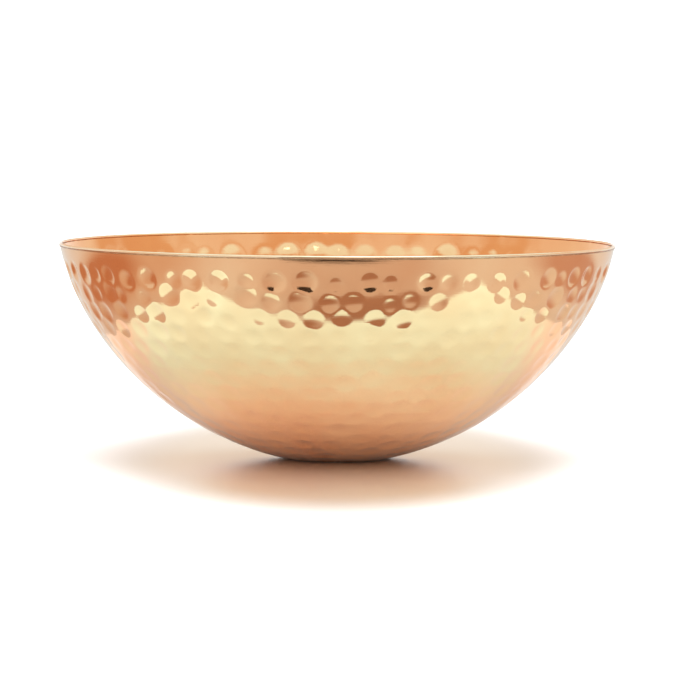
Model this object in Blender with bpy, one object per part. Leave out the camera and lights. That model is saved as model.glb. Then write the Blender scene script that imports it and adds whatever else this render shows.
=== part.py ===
"""Hammered copper bowl: one raised copper sheet with a wire brazed along its edge.

Metres, +Z up. The origin is the centre of the flat underside, where the bowl meets the table,
and +Z is the axis that both pieces are turned about.
"""

from math import asin, cos, hypot, pi, radians, sin

import bmesh
import bpy

# ---------------------------------------------------------------- driving dimensions
RIM_RADIUS = 0.150              # widest point, over the rim wire
HEIGHT = 0.1165                 # table to the top of the rim wire
SHEET = 0.0012                  # thickness of the copper sheet
WIRE_RADIUS = 0.0009            # round wire along the edge
BRAZE_GAP = 0.0003              # clearance that stands for the brazed seam
BASE_RADIUS = 0.027             # flat underside that the bowl rests on

WALL_BEND = 0.125               # radius of the upper wall, seen in section
RIM_LEAN = radians(12.0)        # outward lean of the wall at the rim, from vertical
BEND_CHANGE = radians(30.0)     # lean where the upper wall runs into the rounder bottom

# ---------------------------------------------------------------- facets
ROUND_STEPS = 96                # around the axis
WALL_STEPS = 4                  # up the upper wall
BOTTOM_STEPS = 8                # up the rounded bottom
WIRE_STEPS = 8                  # around the wire
SMOOTH_ANGLE = radians(35.0)    # edges sharper than this stay crisp

# ---------------------------------------------------------------- worked-out section
# The section's outer line is two arcs that share a tangent. The wall's arc aims the middle of
# the sheet at the middle of the wire. The bottom's arc starts along the wall's tangent and
# ends on the edge of the flat underside, which fixes its radius.
WIRE_CENTRE = (RIM_RADIUS - WIRE_RADIUS, HEIGHT - WIRE_RADIUS)
SHEET_TOP = HEIGHT - 2.0 * WIRE_RADIUS - BRAZE_GAP

WALL_CENTRE = (
    WIRE_CENTRE[0] + SHEET / 2.0 - WALL_BEND * cos(RIM_LEAN),
    WIRE_CENTRE[1] + WALL_BEND * sin(RIM_LEAN),
)


def on_arc(centre, bend, lean):
    """The point of an arc, as (radius, height), where the wall leans out by this angle."""
    return (centre[0] + bend * cos(lean), centre[1] - bend * sin(lean))


CHANGE_POINT = on_arc(WALL_CENTRE, WALL_BEND, BEND_CHANGE)
REACH_IN = CHANGE_POINT[0] - BASE_RADIUS
BOTTOM_BEND = hypot(REACH_IN, CHANGE_POINT[1]) ** 2 / (
    2.0 * (REACH_IN * cos(BEND_CHANGE) - CHANGE_POINT[1] * sin(BEND_CHANGE))
)
BOTTOM_CENTRE = (
    CHANGE_POINT[0] - BOTTOM_BEND * cos(BEND_CHANGE),
    CHANGE_POINT[1] + BOTTOM_BEND * sin(BEND_CHANGE),
)


def wall_line(inset, floor, top):
    """One face of the sheet in section, from its flat floor up to its edge.

    inset is the depth of this face under the outer one, floor its height over the table in
    the middle, and top the height it stops at.
    """
    wall_bend = WALL_BEND - inset
    bottom_bend = BOTTOM_BEND - inset
    top_lean = asin((WALL_CENTRE[1] - top) / wall_bend)
    floor_lean = asin((BOTTOM_CENTRE[1] - floor) / bottom_bend)

    points = []
    for step in range(BOTTOM_STEPS):
        lean = floor_lean + (BEND_CHANGE - floor_lean) * step / BOTTOM_STEPS
        points.append(on_arc(BOTTOM_CENTRE, bottom_bend, lean))
    for step in range(WALL_STEPS + 1):
        lean = BEND_CHANGE + (top_lean - BEND_CHANGE) * step / WALL_STEPS
        points.append(on_arc(WALL_CENTRE, wall_bend, lean))
    return points


def sheet_outline():
    """The whole section of the sheet: up the outside, over the edge, down the inside."""
    outside = wall_line(0.0, 0.0, SHEET_TOP)
    inside = wall_line(SHEET, SHEET, SHEET_TOP)
    return [(0.0, 0.0)] + outside + inside[::-1] + [(0.0, SHEET)]


def wire_outline():
    """The wire's round section, about its own middle."""
    turns = [2.0 * pi * step / WIRE_STEPS for step in range(WIRE_STEPS)]
    return [(WIRE_CENTRE[0] + WIRE_RADIUS * cos(turn), WIRE_RADIUS * sin(turn)) for turn in turns]


# ---------------------------------------------------------------- making and finishing
def turned(name, outline, closed):
    """Turn an outline about the Z axis into a new object."""
    mesh = bpy.data.meshes.new(name)
    shape = bmesh.new()
    corners = [shape.verts.new((radius, 0.0, height)) for radius, height in outline]
    pairs = list(zip(corners, corners[1:]))
    if closed:
        pairs.append((corners[-1], corners[0]))
    edges = [shape.edges.new(pair) for pair in pairs]
    bmesh.ops.spin(
        shape,
        geom=corners + edges,
        cent=(0.0, 0.0, 0.0),
        axis=(0.0, 0.0, 1.0),
        angle=2.0 * pi,
        steps=ROUND_STEPS,
        use_merge=True,
    )
    bmesh.ops.remove_doubles(shape, verts=shape.verts, dist=1e-6)
    bmesh.ops.recalc_face_normals(shape, faces=shape.faces)
    shape.to_mesh(mesh)
    shape.free()

    mesh.shade_smooth()
    mesh.set_sharp_from_angle(angle=SMOOTH_ANGLE)
    piece = bpy.data.objects.new(name, mesh)
    bpy.context.scene.collection.objects.link(piece)
    return piece


def copper(name, color, roughness):
    """A bare, polished copper finish."""
    finish = bpy.data.materials.new(name)
    finish.use_nodes = True
    shader = finish.node_tree.nodes["Principled BSDF"]
    shader.inputs["Base Color"].default_value = (*color, 1.0)
    shader.inputs["Metallic"].default_value = 1.0
    shader.inputs["Roughness"].default_value = roughness
    return finish


# ---------------------------------------------------------------- the two pieces
def make_bowl_shell():
    """The raised sheet: rounded bottom, leaning wall, flat underside and square edge."""
    shell = turned("bowl_shell", sheet_outline(), closed=False)
    shell.data.materials.append(copper("hammered_copper", (0.84, 0.43, 0.24), 0.14))
    return shell


def make_rim_wire(shell):
    """The round wire along the sheet's edge, placed on the shell by its location."""
    wire = turned("rim_wire", wire_outline(), closed=True)
    wire.data.materials.append(copper("bright_copper", (0.90, 0.52, 0.32), 0.10))
    wire.location = (0.0, 0.0, WIRE_CENTRE[1])
    wire.parent = shell
    return wire


def main():
    for leftover in list(bpy.data.objects):
        bpy.data.objects.remove(leftover, do_unlink=True)
    shell = make_bowl_shell()
    make_rim_wire(shell)


main()
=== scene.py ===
# %% [markdown]
# # A hammered copper bowl
# The bowl is one round sheet of copper, raised to shape, planished all over with a round-faced
# hammer and polished bright, with a thin copper wire brazed along its edge. Both pieces come
# from the same frame as the CAD model. The outer sizes are read from the frame's nodes, and the
# looks are built around them.

from math import asin, cos, hypot, pi, radians, sin

import bmesh
import bpy
import numpy as np
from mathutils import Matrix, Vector, noise


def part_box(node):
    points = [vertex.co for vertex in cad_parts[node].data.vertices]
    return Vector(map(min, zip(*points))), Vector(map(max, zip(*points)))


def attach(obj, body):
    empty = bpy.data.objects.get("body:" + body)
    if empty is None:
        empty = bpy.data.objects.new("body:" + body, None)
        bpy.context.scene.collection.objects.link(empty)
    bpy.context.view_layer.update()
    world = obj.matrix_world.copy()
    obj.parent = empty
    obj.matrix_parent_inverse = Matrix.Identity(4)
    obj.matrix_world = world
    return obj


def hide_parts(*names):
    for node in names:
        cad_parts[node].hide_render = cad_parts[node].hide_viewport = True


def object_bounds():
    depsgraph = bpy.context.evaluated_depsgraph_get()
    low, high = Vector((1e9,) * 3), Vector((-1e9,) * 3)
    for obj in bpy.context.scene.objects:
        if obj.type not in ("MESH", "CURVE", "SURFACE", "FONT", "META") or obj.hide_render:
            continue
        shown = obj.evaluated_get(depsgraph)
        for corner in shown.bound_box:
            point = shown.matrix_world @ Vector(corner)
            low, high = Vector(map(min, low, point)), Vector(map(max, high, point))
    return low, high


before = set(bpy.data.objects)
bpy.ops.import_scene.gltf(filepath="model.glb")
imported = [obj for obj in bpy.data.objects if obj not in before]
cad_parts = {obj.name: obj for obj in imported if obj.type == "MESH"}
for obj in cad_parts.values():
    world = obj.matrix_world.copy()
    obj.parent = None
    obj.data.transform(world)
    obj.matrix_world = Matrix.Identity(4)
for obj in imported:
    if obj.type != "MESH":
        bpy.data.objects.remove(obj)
CAD_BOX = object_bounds()
print("CAD box", [tuple(round(side, 4) for side in corner) for corner in CAD_BOX])

# %% [markdown]
# ## The bowl's section
# Cut the bowl down the middle and one side of the cut is the section: a flat underside, a
# rounded bottom and a wall that leans out. The rim's radius, the height and the wire's
# thickness are read from the frame. The two bends and the leans are the ones that the CAD
# section is drawn with. The bottom's bend follows from them, because its arc has to leave the
# wall along the same tangent and end on the edge of the flat.

# %% The section's sizes
WIRE_LOW, WIRE_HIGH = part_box("rim_wire")
RIM_RADIUS = WIRE_HIGH[0]
HEIGHT = WIRE_HIGH[2]
WIRE_RADIUS = (WIRE_HIGH[2] - WIRE_LOW[2]) / 2
SHEET = 0.0012
BASE_RADIUS = 0.027
WALL_BEND = 0.125
RIM_LEAN = radians(12.0)
BEND_CHANGE = radians(30.0)
WIRE_BITE = 0.0002              # how far the sheet's edge reaches up into the wire's underside

WIRE_RING = RIM_RADIUS - WIRE_RADIUS
SHEET_TOP = HEIGHT - 2 * WIRE_RADIUS + WIRE_BITE
WALL_CENTRE = (
    WIRE_RING + SHEET / 2 - WALL_BEND * cos(RIM_LEAN),
    HEIGHT - WIRE_RADIUS + WALL_BEND * sin(RIM_LEAN),
)


def on_arc(centre, bend, lean):
    """The point of an arc, as (radius, height), where the wall leans out by this angle."""
    return centre[0] + bend * cos(lean), centre[1] - bend * sin(lean)


CHANGE_POINT = on_arc(WALL_CENTRE, WALL_BEND, BEND_CHANGE)
REACH_IN = CHANGE_POINT[0] - BASE_RADIUS
BOTTOM_BEND = hypot(REACH_IN, CHANGE_POINT[1]) ** 2 / (
    2 * (REACH_IN * cos(BEND_CHANGE) - CHANGE_POINT[1] * sin(BEND_CHANGE))
)
BOTTOM_CENTRE = (
    CHANGE_POINT[0] - BOTTOM_BEND * cos(BEND_CHANGE),
    CHANGE_POINT[1] + BOTTOM_BEND * sin(BEND_CHANGE),
)
print(f"wall bend {WALL_BEND * 1000:.0f} mm, bottom bend {BOTTOM_BEND * 1000:.1f} mm")

# %% [markdown]
# The hammering needs to know how far along the sheet a place is, counted from the middle of
# the underside. So the section is sampled finely, and the samples are averaged over a few
# millimetres. That hardly moves the long arcs, and it rounds the corner at the edge of the
# flat, as the metal does when the flat is pressed in.

# %% Sample the section along the sheet
SAMPLE = 0.00025                # distance between samples
CORNER_ROUNDING = 0.003         # the averaging reaches this far to each side


def section_samples():
    """Radius and height of the sheet's outer face, every SAMPLE along it from the middle."""
    floor_lean = asin(BOTTOM_CENTRE[1] / BOTTOM_BEND)
    top_lean = asin((WALL_CENTRE[1] - SHEET_TOP) / WALL_BEND)
    flat = [(radius, 0.0) for radius in np.arange(0.0, BASE_RADIUS, SAMPLE)]
    bottom = [
        on_arc(BOTTOM_CENTRE, BOTTOM_BEND, lean)
        for lean in np.arange(floor_lean, BEND_CHANGE, -SAMPLE / BOTTOM_BEND)
    ]
    wall = [
        on_arc(WALL_CENTRE, WALL_BEND, lean)
        for lean in np.arange(BEND_CHANGE, top_lean, -SAMPLE / WALL_BEND)
    ]
    wall.append(on_arc(WALL_CENTRE, WALL_BEND, top_lean))
    return np.array(flat + bottom + wall)


def averaged(line, reach):
    """Each sample becomes the mean of its neighbours, except at the two ends."""
    smooth = line.copy()
    for index in range(1, len(line) - 1):
        near = min(reach, index, len(line) - 1 - index)
        smooth[index] = line[index - near:index + near + 1].mean(axis=0)
    return smooth


SECTION = averaged(section_samples(), int(CORNER_ROUNDING / SAMPLE))
STEPS_ALONG = np.hypot(*np.diff(SECTION, axis=0).T)
ALONG = np.concatenate([[0.0], np.cumsum(STEPS_ALONG)])
SLOPE = np.gradient(SECTION, ALONG, axis=0)
SHEET_LENGTH = ALONG[-1]
print(f"{SHEET_LENGTH * 1000:.1f} mm of sheet from the middle of the underside to the rim")


def on_sheet(along, inset=0.0):
    """Radius and height at distances along the sheet, inset under its outer face."""
    radius = np.interp(along, ALONG, SECTION[:, 0])
    height = np.interp(along, ALONG, SECTION[:, 1])
    run = np.interp(along, ALONG, SLOPE[:, 0])
    rise = np.interp(along, ALONG, SLOPE[:, 1])
    steep = np.hypot(run, rise)
    return radius - inset * rise / steep, height + inset * run / steep


# %% [markdown]
# ## The camera
# A long lens from three metres away, a little above the rim: the mouth stays a thin ellipse and
# the outline is hardly distorted.

# %% Camera
CAMERA_AWAY = 3.0
CAMERA_ABOVE_TABLE = 0.2527
CAMERA_ASIDE = 0.0008
CAMERA_DIP = radians(3.6)
CAMERA_ROLL = radians(-0.3)
LENS = 294.6

camera_data = bpy.data.cameras.new("camera")
camera_data.lens = LENS
camera_data.sensor_width = 36.0
camera = bpy.data.objects.new("camera", camera_data)
camera.location = (CAMERA_ASIDE, -CAMERA_AWAY, CAMERA_ABOVE_TABLE)
camera.rotation_euler = (pi / 2 - CAMERA_DIP, CAMERA_ROLL, 0.0)
bpy.context.scene.collection.objects.link(camera)
bpy.context.scene.camera = camera
bpy.context.scene.view_settings.view_transform = "Standard"
print(f"lens {LENS:.0f} mm at {CAMERA_AWAY:.1f} m")

# %% [markdown]
# ## Small helpers
# A material is a chain of nodes, and a few short helpers keep the chains readable: one adds a
# node, sets its inputs by name and links those that are given another node's output.

# %% Node helpers


def add_node(tree, kind, settings=None, **inputs):
    """Add a node, set its properties, and fill or link its inputs by name."""
    node = tree.nodes.new(kind)
    for name, value in (settings or {}).items():
        setattr(node, name, value)
    for name, value in inputs.items():
        fill(tree, node, name.replace("_", " "), value)
    return node


def fill(tree, node, socket, value):
    """Set one input of a node, or link it when the value is another node's output."""
    target = node.inputs[socket]
    if isinstance(value, bpy.types.NodeSocket):
        tree.links.new(value, target)
    else:
        target.default_value = value


def calculate(tree, operation, first, second=0.0, clamp=False):
    """A Math node's result."""
    node = tree.nodes.new("ShaderNodeMath")
    node.operation = operation
    node.use_clamp = clamp
    fill(tree, node, 0, first)
    fill(tree, node, 1, second)
    return node.outputs[0]


def mixed_color(tree, share, first, second, blend="MIX"):
    """A color Mix node's result."""
    node = tree.nodes.new("ShaderNodeMix")
    node.data_type = "RGBA"
    node.blend_type = blend
    fill(tree, node, "Factor", share)
    fill(tree, node, 6, first)
    fill(tree, node, 7, second)
    return node.outputs[2]


def remapped(tree, value, low, high, to_low=0.0, to_high=1.0):
    """A value's range turned into another one, with soft ends."""
    node = add_node(
        tree, "ShaderNodeMapRange", {"interpolation_type": "SMOOTHSTEP"}, Value=value
    )
    for name, number in zip(("From Min", "From Max", "To Min", "To Max"), (low, high, to_low, to_high)):
        node.inputs[name].default_value = number
    return node.outputs["Result"]


# %% [markdown]
# ## The table
# Polished copper has hardly any color of its own to show: what it shows is the room, tinted.
# So the surroundings are made for one view, from the front, and they are not physical. The
# table's colour carries painted light for the copper to mirror: a painted pool of bright light
# on a table of painted shade, and the pool's edge, bent by every hammer mark, draws the
# scalloped line across the wall. The painted light changes tone from the foot outward and
# turns to painted shade behind the bowl. A few oval patches of painted shade, duller or warmer
# than the rest, give the band under the rim its changes of tone. A Light Path node shows these
# tones only to rays that left the copper. The camera sees a plain table with no pool or
# patches. Close to the bowl that table is painted darker, a painted shade, and it is glossy at
# a low angle and shows the bowl's own warm glow.

# %% Table
TABLE_RADIUS = 8.0
HAIR = 0.00005                  # a gap under the bowl, too thin to see, that keeps faces apart
PAINTED_LIGHT_CENTRE = (0.006, 0.0, 0.0)
PAINTED_LIGHT_HALF = (0.211, 0.181)     # half the width and half the depth of the painted pool of light
PAINTED_LIGHT_EDGE = 0.007              # width of the soft edge
TABLE_WHITE = (0.90, 0.90, 0.90, 1.0)
PAINTED_SHADE_NEAR_BOWL = (0.64, 0.64, 0.64, 1.0)    # painted shade: the camera sees the table this dark close to the bowl
PAINTED_LIGHT_FOOT = (0.95, 0.95, 0.95, 1.0)    # painted light: the pool's tone close to the foot
PAINTED_LIGHT_OUTER = (0.60, 0.91, 0.97, 1.0)   # painted light: the pool's tone out at its edge
PAINTED_SHADE_BEHIND = (0.62, 0.62, 0.61, 1.0)  # painted shade: the pool's tone behind the bowl
FOOT_FADE = (0.060, 0.150)              # distances over which the foot's tone is left behind
BEHIND_FADE = (-0.050, 0.050)           # and the stretch, front to back, where "behind" begins
# Painted shade: the table beyond the pool of light, dimmer only to mirrored rays
PAINTED_SHADE_BEYOND = (0.43, 0.46, 0.46, 1.0)
PAINTED_SHADE_PATCHES = {                     # centre, half sizes and tone of each oval patch of painted shade
    "front": ((0.05, -0.36), (0.22, 0.20), (0.36, 0.325, 0.300, 1.0)),
    "edge": ((0.035, -0.206), (0.095, 0.030), (0.25, 0.16, 0.12, 1.0)),
    "side": ((-0.40, 0.00), (0.22, 0.34), (0.38, 0.32, 0.27, 1.0)),
    "left": ((-0.37, 0.07), (0.14, 0.17), (0.30, 0.16, 0.10, 1.0)),
    "right": ((0.42, 0.12), (0.16, 0.24), (0.33, 0.23, 0.19, 1.0)),
}
PATCH_FADE = (0.50, 1.15)       # where a patch starts and stops fading, in half sizes
TABLE_MIRROR = 0.94
TABLE_ROUGHNESS = 0.29
GRAZING = (0.60, 0.90)          # from no gloss to full gloss, as the view gets flatter
GLOSS_SQUEEZE = (2.8, 1.0, 1.0)     # the glossy place is narrower from side to side
GLOSS_FADE = (0.220, 0.400)     # the gloss dies out between these distances from the bowl


def off_painted_light(tree, place):
    """0 on the painted pool of light and 1 off it."""
    offset = add_node(tree, "ShaderNodeVectorMath", {"operation": "SUBTRACT"}, Vector=place)
    offset.inputs[1].default_value = PAINTED_LIGHT_CENTRE
    away = add_node(
        tree, "ShaderNodeVectorMath", {"operation": "ABSOLUTE"}, Vector=offset.outputs[0]
    )
    parts = add_node(tree, "ShaderNodeSeparateXYZ", Vector=away.outputs[0])
    past_side = calculate(tree, "SUBTRACT", parts.outputs["X"], PAINTED_LIGHT_HALF[0])
    past_front = calculate(tree, "SUBTRACT", parts.outputs["Y"], PAINTED_LIGHT_HALF[1])
    past = calculate(tree, "MAXIMUM", past_side, past_front)
    return remapped(tree, past, 0.0, PAINTED_LIGHT_EDGE)


def in_patch(tree, place, centre, half_size):
    """1 in the middle of an oval patch of the table, fading to 0 past its edge."""
    offset = add_node(tree, "ShaderNodeVectorMath", {"operation": "SUBTRACT"}, Vector=place)
    offset.inputs[1].default_value = (*centre, 0.0)
    scaled = add_node(
        tree, "ShaderNodeVectorMath", {"operation": "DIVIDE"}, Vector=offset.outputs[0]
    )
    scaled.inputs[1].default_value = (*half_size, 1.0)
    reach = add_node(
        tree, "ShaderNodeVectorMath", {"operation": "LENGTH"}, Vector=scaled.outputs[0]
    )
    return remapped(tree, reach.outputs["Value"], *PATCH_FADE, 1.0, 0.0)


def table_material():
    """Matt to the camera with painted shade near the bowl, glossy there, and painted light and shade
    only to mirrored rays.
    """
    material = bpy.data.materials.new("white_table")
    material.use_nodes = True
    tree = material.node_tree
    tree.nodes.clear()
    place = add_node(tree, "ShaderNodeTexCoord").outputs["Object"]
    rays = add_node(tree, "ShaderNodeLightPath")
    distance = add_node(tree, "ShaderNodeVectorMath", {"operation": "LENGTH"}, Vector=place)
    distance = distance.outputs["Value"]
    # Painted shade beyond the pool, with oval patches of deeper painted shade.
    outside = PAINTED_SHADE_BEYOND
    for centre, half_size, tone in PAINTED_SHADE_PATCHES.values():
        patch = in_patch(tree, place, centre, half_size)
        outside = mixed_color(tree, patch, outside, tone)
    # Painted light: the pool's tone from the foot outward, then painted shade behind the bowl.
    painted_pool_tone = mixed_color(tree, remapped(tree, distance, *FOOT_FADE), PAINTED_LIGHT_FOOT, PAINTED_LIGHT_OUTER)
    depth = add_node(tree, "ShaderNodeSeparateXYZ", Vector=place).outputs["Y"]
    painted_pool_tone = mixed_color(tree, remapped(tree, depth, *BEHIND_FADE), painted_pool_tone, PAINTED_SHADE_BEHIND)
    reflected = mixed_color(tree, off_painted_light(tree, place), painted_pool_tone, outside)
    squeezed = add_node(tree, "ShaderNodeVectorMath", {"operation": "MULTIPLY"}, Vector=place)
    squeezed.inputs[1].default_value = GLOSS_SQUEEZE
    reach = add_node(
        tree, "ShaderNodeVectorMath", {"operation": "LENGTH"}, Vector=squeezed.outputs[0]
    )
    near = remapped(tree, reach.outputs["Value"], *GLOSS_FADE, 1.0, 0.0)
    near = calculate(tree, "MULTIPLY", near, rays.outputs["Is Camera Ray"])
    # Painted shade: to the camera the table is darker close to the bowl.
    plain = mixed_color(tree, near, TABLE_WHITE, PAINTED_SHADE_NEAR_BOWL)
    tone = mixed_color(tree, rays.outputs["Is Glossy Ray"], plain, reflected)
    matt = add_node(tree, "ShaderNodeBsdfDiffuse", Color=tone)
    gloss = add_node(
        tree, "ShaderNodeBsdfGlossy", Color=(1.0, 1.0, 1.0, 1.0), Roughness=TABLE_ROUGHNESS
    )
    grazing = add_node(tree, "ShaderNodeLayerWeight", Blend=0.5).outputs["Facing"]
    mirror = remapped(tree, grazing, *GRAZING, 0.0, TABLE_MIRROR)
    mirror = calculate(tree, "MULTIPLY", mirror, near)
    surface = add_node(tree, "ShaderNodeMixShader", Fac=mirror)
    tree.links.new(matt.outputs[0], surface.inputs[1])
    tree.links.new(gloss.outputs[0], surface.inputs[2])
    output = add_node(tree, "ShaderNodeOutputMaterial")
    tree.links.new(surface.outputs[0], output.inputs["Surface"])
    return material


def make_table():
    """A wide round table top, a hair below the bowl."""
    shape = bmesh.new()
    bmesh.ops.create_circle(shape, cap_ends=True, segments=96, radius=TABLE_RADIUS)
    mesh = bpy.data.meshes.new("table_top")
    shape.to_mesh(mesh)
    shape.free()
    table = bpy.data.objects.new("table_top", mesh)
    table.location.z = CAD_BOX[0][2] - HAIR
    table.data.materials.append(table_material())
    bpy.context.scene.collection.objects.link(table)


make_table()

# %% [markdown]
# ## The light
# The room is the world's light. It does three jobs, and a Light Path node keeps them apart.
# As a light it is brightest in a band partway up, which shapes the shade under the bowl. It is
# plain white to the camera. And to the copper it shows a wall in paler and warmer stretches, a
# white backdrop low behind the bowl and a brighter ceiling. One soft box overhead adds a
# little direction. A dark card hangs in front of the bowl where only mirrored rays can see it:
# the steepest lips of the top row's hammer marks catch it as small dark crescents.

# %% Room, soft box and dark card
LIGHT_LOW = (0.90, 0.90, 0.90, 1.0)
LIGHT_BAND = (3.40, 3.40, 3.40, 1.0)
LIGHT_HIGH = (1.00, 1.00, 1.00, 1.0)
ROOM_WALL = (0.92, 0.84, 0.72, 1.0)
ROOM_WARM = (0.82, 0.58, 0.37, 1.0)
ROOM_PATCHES = 4.5
ROOM_SIDES = 4.0                # paler and warmer stretches of wall take turns round the room
ROOM_TURN = radians(140.0)
SIDES_STRENGTH = 0.20
WALL_MIX = (0.38, 0.64)
# The next six are directions: how far a ray points up (Z) or back (Y), from 0 to 1.
LIGHT_RISE = (0.45, 0.72)
LIGHT_FALL = (0.75, 0.92)
CEILING_FROM = (0.52, 0.64)
OVERHEAD_FROM = (0.80, 0.95)
BACKDROP_UP = (0.04, 0.20)
BACKDROP_BACK = (0.0, 0.5)
ROOM_BACKDROP = (1.04, 1.04, 1.04, 1.0)
ROOM_CEILING = (0.96, 1.22, 1.22, 1.0)
ROOM_OVERHEAD = (1.10, 1.30, 1.28, 1.0)
ROOM_SEEN = (1.30, 1.30, 1.30, 1.0)
SOFTBOX_PLACE = (0.30, -0.50, 2.00)
SOFTBOX_SIZE = 1.2
SOFTBOX_POWER = 10.0
CARD_HALF_WIDTH = 0.34
CARD_HEIGHTS = (0.027, 0.130)   # the card hangs between these heights above the table
CARD_PLACE = (0.24, -0.300)
CARD_TONE = (0.020, 0.012, 0.008, 1.0)


def make_room():
    """A pale room that looks different to the table, to the copper and to the camera."""
    world = bpy.data.worlds.new("white_room")
    bpy.context.scene.world = world
    world.use_nodes = True
    tree = world.node_tree
    tree.nodes.clear()
    direction = add_node(tree, "ShaderNodeTexCoord").outputs["Generated"]
    parts = add_node(tree, "ShaderNodeSeparateXYZ", Vector=direction)
    up = remapped(tree, parts.outputs["Z"], *CEILING_FROM)
    overhead = remapped(tree, parts.outputs["Z"], *OVERHEAD_FROM)
    low = remapped(tree, parts.outputs["Z"], *BACKDROP_UP, 1.0, 0.0)
    behind = remapped(tree, parts.outputs["Y"], *BACKDROP_BACK)
    behind = calculate(tree, "MULTIPLY", behind, low)
    patches = add_node(
        tree, "ShaderNodeTexNoise", Vector=direction, Scale=ROOM_PATCHES, Detail=1.0
    )
    forward = calculate(tree, "MULTIPLY", parts.outputs["Y"], -1.0)
    turn = calculate(tree, "ARCTAN2", parts.outputs["X"], forward)
    wave = calculate(tree, "MULTIPLY_ADD", turn, ROOM_SIDES)
    wave.node.inputs[2].default_value = ROOM_TURN
    wave = calculate(tree, "MULTIPLY", calculate(tree, "COSINE", wave), SIDES_STRENGTH)
    patches = calculate(tree, "SUBTRACT", patches.outputs["Fac"], wave)
    patches = remapped(tree, patches, *WALL_MIX)
    wall = mixed_color(tree, patches, ROOM_WALL, ROOM_WARM)
    around = mixed_color(tree, behind, wall, ROOM_BACKDROP)
    look = mixed_color(tree, up, around, ROOM_CEILING)
    look = mixed_color(tree, overhead, look, ROOM_OVERHEAD)
    rays = add_node(tree, "ShaderNodeLightPath")
    rise = remapped(tree, parts.outputs["Z"], *LIGHT_RISE)
    fall = remapped(tree, parts.outputs["Z"], *LIGHT_FALL)
    lamp = mixed_color(tree, rise, LIGHT_LOW, LIGHT_BAND)
    lamp = mixed_color(tree, fall, lamp, LIGHT_HIGH)
    glow = mixed_color(tree, rays.outputs["Is Glossy Ray"], lamp, look)
    glow = mixed_color(tree, rays.outputs["Is Camera Ray"], glow, ROOM_SEEN)
    light = add_node(tree, "ShaderNodeBackground", Color=glow)
    output = add_node(tree, "ShaderNodeOutputWorld")
    tree.links.new(light.outputs[0], output.inputs["Surface"])


def add_softbox(name, place):
    """A large square lamp that faces the middle of the bowl."""
    lamp_data = bpy.data.lights.new(name, "AREA")
    lamp_data.shape = "SQUARE"
    lamp_data.size = SOFTBOX_SIZE
    lamp_data.energy = SOFTBOX_POWER
    lamp = bpy.data.objects.new(name, lamp_data)
    lamp.location = place
    aim = Vector((0.0, 0.0, HEIGHT / 2)) - lamp.location
    lamp.rotation_euler = aim.to_track_quat("-Z", "Y").to_euler()
    bpy.context.scene.collection.objects.link(lamp)


def add_dark_card():
    """An upright dark card that only mirrored rays can see."""
    middle, front = CARD_PLACE
    left = middle - CARD_HALF_WIDTH
    right = middle + CARD_HALF_WIDTH
    low, high = CARD_HEIGHTS
    mesh = bpy.data.meshes.new("dark_card")
    corners = [(left, low), (right, low), (right, high), (left, high)]
    mesh.from_pydata([(x, front, z) for x, z in corners], [], [(0, 1, 2, 3)])
    card = bpy.data.objects.new("dark_card", mesh)
    black = bpy.data.materials.new("dark_card")
    black.use_nodes = True
    shader = black.node_tree.nodes["Principled BSDF"]
    shader.inputs["Base Color"].default_value = CARD_TONE
    mesh.materials.append(black)
    bpy.context.scene.collection.objects.link(card)
    card.visible_camera = False
    card.visible_diffuse = False
    card.visible_shadow = False


make_room()
add_softbox("softbox_overhead", SOFTBOX_PLACE)
add_dark_card()

# %% [markdown]
# ## The hammer blows
# A planisher works round and round the bowl in rows, from the base up, and stops a few
# millimetres short of the edge. No two blows are alike: each lands a little off its row, and
# bites a little more or less. So the rows are laid out by rule, and each blow is shifted by a
# seeded random amount, which gives the same bowl every time.

# %% Place the blows
BLOW_SEED = 11
ROW_PITCH = 0.0102              # from one row of blows to the next
BLOW_PITCH = 0.0152             # from one blow to the next in a row
PLAIN_BAND = 0.0070             # smooth band left under the wire
BLOW_HALF_WIDTH = 0.0060
BLOW_SPREAD = (0.70, 1.12)      # smallest and largest share of that width
STRAY_AROUND = 0.0020           # how far a blow lands from its place in the row
STRAY_ALONG = 0.0010            # and from the row itself
HAMMER_HARD = (0.0185, 0.0300)  # radius of the hammer's face near the rim
HAMMER_SOFT = (0.036, 0.062)    # and lower down, where the blows are lighter
HARD_ZONE = (0.040, 0.062)      # distance from the rim over which the blows get lighter
TOP_ROW = 0.72                  # the top row's blows are struck with a rounder face


def lay_out_blows():
    """Centres, face radii and depths of all the blows, row by row."""
    chance = np.random.default_rng(BLOW_SEED)
    first = BASE_RADIUS + BLOW_HALF_WIDTH
    last = SHEET_LENGTH - PLAIN_BAND - BLOW_HALF_WIDTH
    rows = round((last - first) / ROW_PITCH) + 1
    centres, faces, depths = [], [], []
    for along in np.linspace(first, last, rows):
        radius = float(on_sheet(along)[0])
        count = round(2 * pi * radius / BLOW_PITCH)
        start = chance.uniform(0, 1)
        lightness = float(np.interp(SHEET_LENGTH - along, HARD_ZONE, (0.0, 1.0)))
        hardest = HAMMER_HARD[0] + (HAMMER_SOFT[0] - HAMMER_HARD[0]) * lightness
        lightest = HAMMER_HARD[1] + (HAMMER_SOFT[1] - HAMMER_HARD[1]) * lightness
        for blow in range(count):
            turn = 2 * pi * (blow + start) / count + chance.normal(0, STRAY_AROUND) / radius
            place = along + chance.normal(0, STRAY_ALONG)
            reach, height = on_sheet(min(place, last))
            face = chance.uniform(hardest, lightest)
            if along == last:
                face *= TOP_ROW
            half = BLOW_HALF_WIDTH * chance.uniform(*BLOW_SPREAD)
            centres.append((reach * cos(turn), reach * sin(turn), height))
            faces.append(face)
            depths.append(half ** 2 / (2 * face))
    return np.array(centres), np.array(faces), np.array(depths)


BLOW_CENTRES, BLOW_FACES, BLOW_DEPTHS = lay_out_blows()
print(f"{len(BLOW_CENTRES)} blows, up to {BLOW_DEPTHS.max() * 1000:.2f} mm deep")

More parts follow.
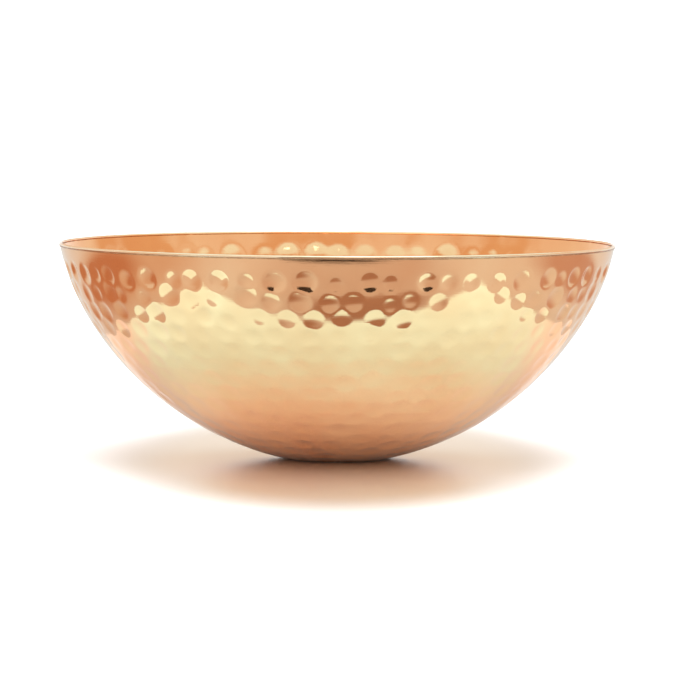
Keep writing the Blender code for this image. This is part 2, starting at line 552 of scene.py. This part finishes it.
# %% [markdown]
# Each blow presses a shallow round hollow. Where hollows meet, the deeper one wins, and the
# ridge between them is a little rounded. A soft maximum does both at once: it adds up the
# exponentials of the hollows' depths and takes the logarithm. The softness says how round
# the ridges are. They are rounder inside, because the sheet's thickness blurs them.

# %% How deep the metal is pressed at a place
RIDGE_OUTSIDE = 0.000028
RIDGE_INSIDE = 0.000260
BATCH = 2000                    # points worked out at a time, to save memory


def pressed(points, softness):
    """How far the hammer has pushed the sheet in at each point, in metres."""
    depth = np.empty(len(points))
    for start in range(0, len(points), BATCH):
        batch = points[start:start + BATCH]
        apart = ((batch[:, None, :] - BLOW_CENTRES[None, :, :]) ** 2).sum(axis=2)
        hollow = BLOW_DEPTHS - apart / (2 * BLOW_FACES)
        depth[start:start + BATCH] = softness * np.log1p(np.exp(hollow / softness).sum(axis=1))
    return depth


# %% [markdown]
# ## The bowl's sheet
# The hollows should be equally crisp at the base and at the rim, so the mesh needs triangles
# of one size all over. An icosphere has them, and a bowl is nearly part of a ball. So the
# sheet starts as an icosphere cut off at the top, gets a thickness, and has its outer face
# divided once more for the hammer marks. Then every vertex moves to its place on the section.

# %% Cut a cap from an icosphere
CAP_ANGLE = radians(78.0)       # from the bottom of the ball to the cut
CAP_LEVEL = 7
CAP_EDGE = 1.05 / 2 ** (CAP_LEVEL - 1)
CAP_THICKNESS = 0.02


def cut_cap():
    """The lower part of an icosphere, with its rim on one level."""
    shape = bmesh.new()
    bmesh.ops.create_icosphere(shape, subdivisions=CAP_LEVEL, radius=1.0)
    bmesh.ops.bisect_plane(
        shape,
        geom=shape.verts[:] + shape.edges[:] + shape.faces[:],
        dist=CAP_EDGE * 0.35,
        plane_co=(0.0, 0.0, -cos(CAP_ANGLE)),
        plane_no=(0.0, 0.0, 1.0),
        clear_outer=True,
    )
    for vert in shape.verts:
        if vert.is_boundary:
            flat = vert.co.to_2d().normalized() * sin(CAP_ANGLE)
            vert.co = (flat.x, flat.y, -cos(CAP_ANGLE))
    return shape


def cap_with_wall():
    """The cap as a closed wall, its outer face divided once more than its inner one."""
    shape = cut_cap()
    bmesh.ops.solidify(shape, geom=shape.faces[:], thickness=CAP_THICKNESS)
    middle = 1.0 - CAP_THICKNESS / 2
    outer_edges = [
        edge for edge in shape.edges if min(vert.co.length for vert in edge.verts) > middle
    ]
    bmesh.ops.subdivide_edges(shape, edges=outer_edges, cuts=1, use_grid_fill=True)
    bmesh.ops.triangulate(shape, faces=[face for face in shape.faces if len(face.verts) > 3])
    return shape


# %% [markdown]
# A vertex's angle on the ball says how far along the sheet it goes, and its distance from the
# ball's middle says whether it is on the outer or the inner face. A ripple of a fifth of a
# millimetre, too long to see as dents, keeps the wall from being machine-true. How deep the
# hammer went is kept as an attribute, for the finish to use.

# %% Shape the cap into the hammered sheet
RIPPLE = 0.00022
RIPPLE_LENGTH = 0.055
RIPPLE_FADE = 0.020             # the ripple dies out this far from the rim and the base
SHARP_ANGLE = radians(50.0)


def ripple(points, along):
    """A long, shallow unevenness of the hand-raised wall, none at the rim and the base."""
    wave = np.array([noise.noise(Vector(point) / RIPPLE_LENGTH) for point in points])
    from_ends = np.minimum(SHEET_LENGTH - along, along - BASE_RADIUS)
    return RIPPLE * wave * np.clip(from_ends / RIPPLE_FADE, 0.0, 1.0)


def make_bowl_sheet():
    """The raised and hammered copper sheet, one closed wall."""
    shape = cap_with_wall()
    mesh = bpy.data.meshes.new("hammered_sheet")
    shape.to_mesh(mesh)
    shape.free()

    ball = np.empty(len(mesh.vertices) * 3)
    mesh.vertices.foreach_get("co", ball)
    ball = ball.reshape(-1, 3)
    level = np.hypot(ball[:, 0], ball[:, 1])
    angle = np.arctan2(level, -ball[:, 2])
    inside = np.linalg.norm(ball, axis=1) < 1.0 - CAP_THICKNESS / 2
    along = np.minimum(angle / CAP_ANGLE, 1.0) * SHEET_LENGTH
    around = np.divide(ball[:, :2], level[:, None], where=level[:, None] > 1e-9, out=ball[:, :2] * 0)

    outer_radius, outer_height = on_sheet(along)
    deep_radius, deep_height = on_sheet(along, inset=SHEET)
    face = np.column_stack([around * outer_radius[:, None], outer_height])
    back = np.column_stack([around * deep_radius[:, None], deep_height])
    inward = (back - face) / SHEET
    push = np.where(inside, pressed(face, RIDGE_INSIDE), pressed(face, RIDGE_OUTSIDE))
    swell = ripple(face, along)
    placed = np.where(inside[:, None], back, face) + inward * (push + swell)[:, None]
    at_edge = along > SHEET_LENGTH - 1e-6
    placed[at_edge, 2] = SHEET_TOP

    mesh.vertices.foreach_set("co", placed.ravel())
    depth = mesh.attributes.new("hammer_depth", "FLOAT", "POINT")
    depth.data.foreach_set("value", push / BLOW_DEPTHS.max())
    mesh.update()
    mesh.shade_smooth()
    mesh.set_sharp_from_angle(angle=SHARP_ANGLE)
    sheet = bpy.data.objects.new("hammered_sheet", mesh)
    bpy.context.scene.collection.objects.link(sheet)
    print(f"{len(mesh.polygons)} triangles, pressed up to {push.max() * 1000:.2f} mm")
    return sheet


sheet = make_bowl_sheet()

# %% [markdown]
# ## The rim wire
# The wire is drawn round and bent into a ring, then brazed on and filed by hand, so it is not
# perfectly even. A small circle spun about the bowl's axis makes the ring, and a slow noise
# round the ring thins it a little here and there.

# %% Rim wire
WIRE_SIDES = 20
RING_STEPS = 420
WIRE_THINNING = 0.07            # share of its radius that the wire loses where it is thinnest
THINNING_LENGTH = 0.030


def spun(name, outline):
    """A closed outline in the XZ plane, spun once round the bowl's axis."""
    shape = bmesh.new()
    corners = [shape.verts.new((radius, 0.0, height)) for radius, height in outline]
    edges = [shape.edges.new(pair) for pair in zip(corners, corners[1:] + corners[:1])]
    bmesh.ops.spin(
        shape,
        geom=corners + edges,
        cent=(0.0, 0.0, 0.0),
        axis=(0.0, 0.0, 1.0),
        angle=2 * pi,
        steps=RING_STEPS,
        use_merge=True,
    )
    bmesh.ops.remove_doubles(shape, verts=shape.verts, dist=1e-6)
    bmesh.ops.recalc_face_normals(shape, faces=shape.faces)
    mesh = bpy.data.meshes.new(name)
    shape.to_mesh(mesh)
    shape.free()
    mesh.shade_smooth()
    piece = bpy.data.objects.new(name, mesh)
    bpy.context.scene.collection.objects.link(piece)
    return piece


def make_rim_wire():
    """The brazed wire along the sheet's edge."""
    middle = HEIGHT - WIRE_RADIUS
    turns = [2 * pi * side / WIRE_SIDES for side in range(WIRE_SIDES)]
    outline = [
        (WIRE_RING + WIRE_RADIUS * cos(turn), middle + WIRE_RADIUS * sin(turn)) for turn in turns
    ]
    wire = spun("brazed_rim_wire", outline)
    for vert in wire.data.vertices:
        ring = Vector((vert.co.x, vert.co.y, 0.0)).normalized() * WIRE_RING
        core = ring + Vector((0.0, 0.0, middle))
        thinning = WIRE_THINNING * (0.5 + 0.5 * noise.noise(ring / THINNING_LENGTH))
        vert.co = core + (vert.co - core) * (1.0 - thinning)
    print(len(wire.data.polygons), "faces in the rim wire")
    return wire


wire = make_rim_wire()

# %% [markdown]
# ## The brazed seam
# Where the wire meets the sheet, the braze has run into the notch on both sides and left a
# small hollow fillet. Its colour is partly braze and partly painted shade: darker metal that
# draws a thin dark line under the bright bead. It is spun like the wire, from a small outline
# for each side.

# %% Brazed seam
MICRON = 0.000001
FILLET = 0.00042                # how far the braze runs down the sheet
SEAM_POINTS = 5


def seam_outline(side):
    """One fillet in section; side is +1 outside and -1 inside."""
    edge = WIRE_RING + side * SHEET / 2
    low = (edge - side * 100 * MICRON, SHEET_TOP - FILLET)
    high = (edge + side * 150 * MICRON, SHEET_TOP + 120 * MICRON)
    root = (edge - side * 200 * MICRON, SHEET_TOP)
    curve = []
    for step in range(SEAM_POINTS):
        share = step / (SEAM_POINTS - 1)
        bow = 60 * MICRON * sin(pi * share)
        curve.append(
            (
                low[0] + (high[0] - low[0]) * share ** 1.6 + side * (100 * MICRON - bow),
                low[1] + (high[1] - low[1]) * share,
            )
        )
    return curve + [root]


seam_outside = spun("brazed_seam_outside", seam_outline(1))
seam_inside = spun("brazed_seam_inside", seam_outline(-1))
print("seam", len(seam_outside.data.polygons) + len(seam_inside.data.polygons), "faces")

# %% [markdown]
# ## The finish
# Polished copper is a mirror with a warm tint, so most of its look is in what it reflects.
# What makes it real is small: the tint drifts a little between rosier and more golden metal,
# the buffing wheel leaves fine lines round the bowl, and fingers leave faint dull patches.
# All three are wanted on the sheet and on the wire, so each is a node group, built once.

# %% Group: tint that drifts over the metal


def new_group(name, inputs, outputs):
    """A shader node group with named sockets; returns its tree and its two end nodes."""
    group = bpy.data.node_groups.new(name, "ShaderNodeTree")
    for socket, kind, default in inputs:
        made = group.interface.new_socket(socket, in_out="INPUT", socket_type=kind)
        made.default_value = default
    for socket, kind in outputs:
        group.interface.new_socket(socket, in_out="OUTPUT", socket_type=kind)
    entry = group.nodes.new("NodeGroupInput")
    leave = group.nodes.new("NodeGroupOutput")
    return group, entry, leave


def noise_node(tree, place, scale, detail, roughness=0.5, distortion=0.0):
    """A Noise Texture's value at a place."""
    node = add_node(
        tree, "ShaderNodeTexNoise", Vector=place, Scale=scale, Detail=detail, Roughness=roughness,
        Distortion=distortion,
    )
    return node.outputs["Fac"]


def build_tint_group():
    """Metal color between a rosy and a golden tint, in patches a few centimetres wide."""
    group, entry, leave = new_group(
        "drifting_tint",
        [
            ("Rosy", "NodeSocketColor", (0.90, 0.45, 0.24, 1.0)),
            ("Golden", "NodeSocketColor", (0.95, 0.58, 0.32, 1.0)),
            ("Patch Scale", "NodeSocketFloat", 22.0),
        ],
        [("Color", "NodeSocketColor")],
    )
    place = add_node(group, "ShaderNodeTexCoord").outputs["Object"]
    broad = noise_node(group, place, entry.outputs["Patch Scale"], 2.0, distortion=0.4)
    fine = noise_node(group, place, 420.0, 3.0)
    share = calculate(group, "MULTIPLY_ADD", fine, 0.25)
    share.node.inputs[2].default_value = -0.125
    share = calculate(group, "ADD", share, remapped(group, broad, 0.32, 0.68), clamp=True)
    tint = mixed_color(group, share, entry.outputs["Rosy"], entry.outputs["Golden"])
    group.links.new(tint, leave.inputs["Color"])
    return group


TINT = build_tint_group()

# %% [markdown]
# The buffing lines are noise that is squeezed in height and stretched round the bowl. They
# feed the bump and, much fainter, the roughness, because a line is both a tiny groove and a
# slightly duller streak.

# %% Group: buffing lines


def build_buffing_group():
    """Fine lines round the bowl, from 0 to 1."""
    group, entry, leave = new_group(
        "buffing_lines",
        [("Line Scale", "NodeSocketFloat", 1.0)],
        [("Lines", "NodeSocketFloat")],
    )
    place = add_node(group, "ShaderNodeTexCoord").outputs["Object"]
    stretched = add_node(group, "ShaderNodeMapping", Vector=place, Scale=(14.0, 14.0, 1500.0))
    lines = noise_node(group, stretched.outputs[0], entry.outputs["Line Scale"], 4.0, 0.7)
    group.links.new(remapped(group, lines, 0.25, 0.75), leave.inputs["Lines"])
    return group


def build_handling_group():
    """Roughness of a polished surface with faint smudges and dulled patches."""
    group, entry, leave = new_group(
        "handling_smudges",
        [
            ("Polished", "NodeSocketFloat", 0.06),
            ("Smudged", "NodeSocketFloat", 0.13),
        ],
        [("Roughness", "NodeSocketFloat")],
    )
    place = add_node(group, "ShaderNodeTexCoord").outputs["Object"]
    smudge = remapped(group, noise_node(group, place, 34.0, 4.0, 0.6, 0.8), 0.50, 0.78)
    film = remapped(group, noise_node(group, place, 150.0, 2.0), 0.3, 0.7)
    share = calculate(group, "MULTIPLY_ADD", film, 0.2)
    group.links.new(smudge, share.node.inputs[2])
    span = calculate(group, "SUBTRACT", entry.outputs["Smudged"], entry.outputs["Polished"])
    rough = calculate(group, "MULTIPLY_ADD", span, share)
    group.links.new(entry.outputs["Polished"], rough.node.inputs[2])
    group.links.new(rough, leave.inputs["Roughness"])
    return group


BUFFING = build_buffing_group()
HANDLING = build_handling_group()
print("groups:", ", ".join(group.name for group in bpy.data.node_groups))

# %% [markdown]
# The sheet, the wire and the braze are built from the same groups with their own values. On
# the sheet the hammer's depth matters too: polish reaches the ridges best, so they are the
# brightest, and a trace of darker metal stays in the hollows. The underside is scuffed where
# it rubs the table.

# %% Materials
ROSY_COPPER = (0.920, 0.490, 0.255, 1.0)
GOLDEN_COPPER = (0.950, 0.550, 0.300, 1.0)
HOLLOW_COPPER = (0.880, 0.455, 0.230, 1.0)
# The wire is copper, tinted paler than the sheet as a painted highlight for the bright line along the
# rim.
WIRE_ROSY_WITH_PAINTED_HIGHLIGHT = (0.935, 0.650, 0.430, 1.0)
WIRE_GOLDEN_WITH_PAINTED_HIGHLIGHT = (0.955, 0.730, 0.520, 1.0)
# Braze darkened into painted shade, for the dark line under the bead.
BRAZE_ROSY_AND_PAINTED_SHADE = (0.500, 0.250, 0.130, 1.0)
BRAZE_GOLDEN_AND_PAINTED_SHADE = (0.640, 0.350, 0.190, 1.0)
SCUFFED_COPPER = (0.620, 0.340, 0.190, 1.0)
STANDING = (0.0002, 0.0012)     # the scuffs fade out between these heights


def group_node(tree, group, **inputs):
    """A placed group, with its own input values."""
    node = tree.nodes.new("ShaderNodeGroup")
    node.node_tree = group
    for name, value in inputs.items():
        fill(tree, node, name.replace("_", " "), value)
    return node


def metal(name, rosy, golden, patch_scale, polished, smudged, line_scale, line_height):
    """A polished copper alloy; returns the material, its shader and its tint and roughness."""
    material = bpy.data.materials.new(name)
    material.use_nodes = True
    tree = material.node_tree
    shader = tree.nodes["Principled BSDF"]
    shader.inputs["Metallic"].default_value = 1.0
    tint = group_node(tree, TINT, Rosy=rosy, Golden=golden, Patch_Scale=patch_scale)
    lines = group_node(tree, BUFFING, Line_Scale=line_scale).outputs["Lines"]
    rough = group_node(tree, HANDLING, Polished=polished, Smudged=smudged).outputs["Roughness"]
    streaked = calculate(tree, "MULTIPLY_ADD", lines, 0.015)
    tree.links.new(rough, streaked.node.inputs[2])
    bump = add_node(tree, "ShaderNodeBump", Height=lines, Strength=0.25, Distance=line_height)
    tree.links.new(bump.outputs["Normal"], shader.inputs["Normal"])
    tree.links.new(tint.outputs["Color"], shader.inputs["Base Color"])
    tree.links.new(streaked, shader.inputs["Roughness"])
    return material, shader, tint.outputs["Color"], streaked


def hammered_copper():
    """The sheet's finish: darker in the hollows, scuffed where it stands."""
    material, shader, tint, rough = metal(
        "hammered_copper", ROSY_COPPER, GOLDEN_COPPER, 22.0, 0.055, 0.12, 1.0, 0.00002
    )
    tree = material.node_tree
    depth = add_node(tree, "ShaderNodeAttribute", {"attribute_name": "hammer_depth"})
    hollow = remapped(tree, depth.outputs["Fac"], 0.15, 0.95, 0.0, 0.55)
    color = mixed_color(tree, hollow, tint, HOLLOW_COPPER)
    place = add_node(tree, "ShaderNodeTexCoord").outputs["Object"]
    height = add_node(tree, "ShaderNodeSeparateXYZ", Vector=place).outputs["Z"]
    standing = remapped(tree, height, *STANDING, 1.0, 0.0)
    scuffs = remapped(tree, noise_node(tree, place, 700.0, 5.0, 0.7), 0.45, 0.62)
    scuffed = calculate(tree, "MULTIPLY", standing, scuffs)
    color = mixed_color(tree, scuffed, color, SCUFFED_COPPER)
    worn = calculate(tree, "MULTIPLY_ADD", scuffed, 0.28)
    tree.links.new(rough, worn.node.inputs[2])
    tree.links.new(color, shader.inputs["Base Color"])
    tree.links.new(worn, shader.inputs["Roughness"])
    return material


sheet.data.materials.append(hammered_copper())
wire.data.materials.append(
    metal("copper_wire_painted_highlight", WIRE_ROSY_WITH_PAINTED_HIGHLIGHT, WIRE_GOLDEN_WITH_PAINTED_HIGHLIGHT, 60.0, 0.09, 0.16, 2.0, 0.00001)[0]
)
braze = metal("copper_braze_painted_shade", BRAZE_ROSY_AND_PAINTED_SHADE, BRAZE_GOLDEN_AND_PAINTED_SHADE, 180.0, 0.16, 0.30, 2.0, 0.00001)[0]
for seam in (seam_outside, seam_inside):
    seam.data.materials.append(braze)
print("materials:", ", ".join(material.name for material in bpy.data.materials))

# %% [markdown]
# ## Hand over to the frame
# Each piece rides on the bowl's one body. The sheet and the wire take the place of the plain
# CAD solids, and the seams ride along as small extra pieces.

# %% Ride and replace
for piece in (sheet, wire, seam_outside, seam_inside):
    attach(piece, "root")
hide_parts("bowl_shell")
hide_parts("rim_wire")
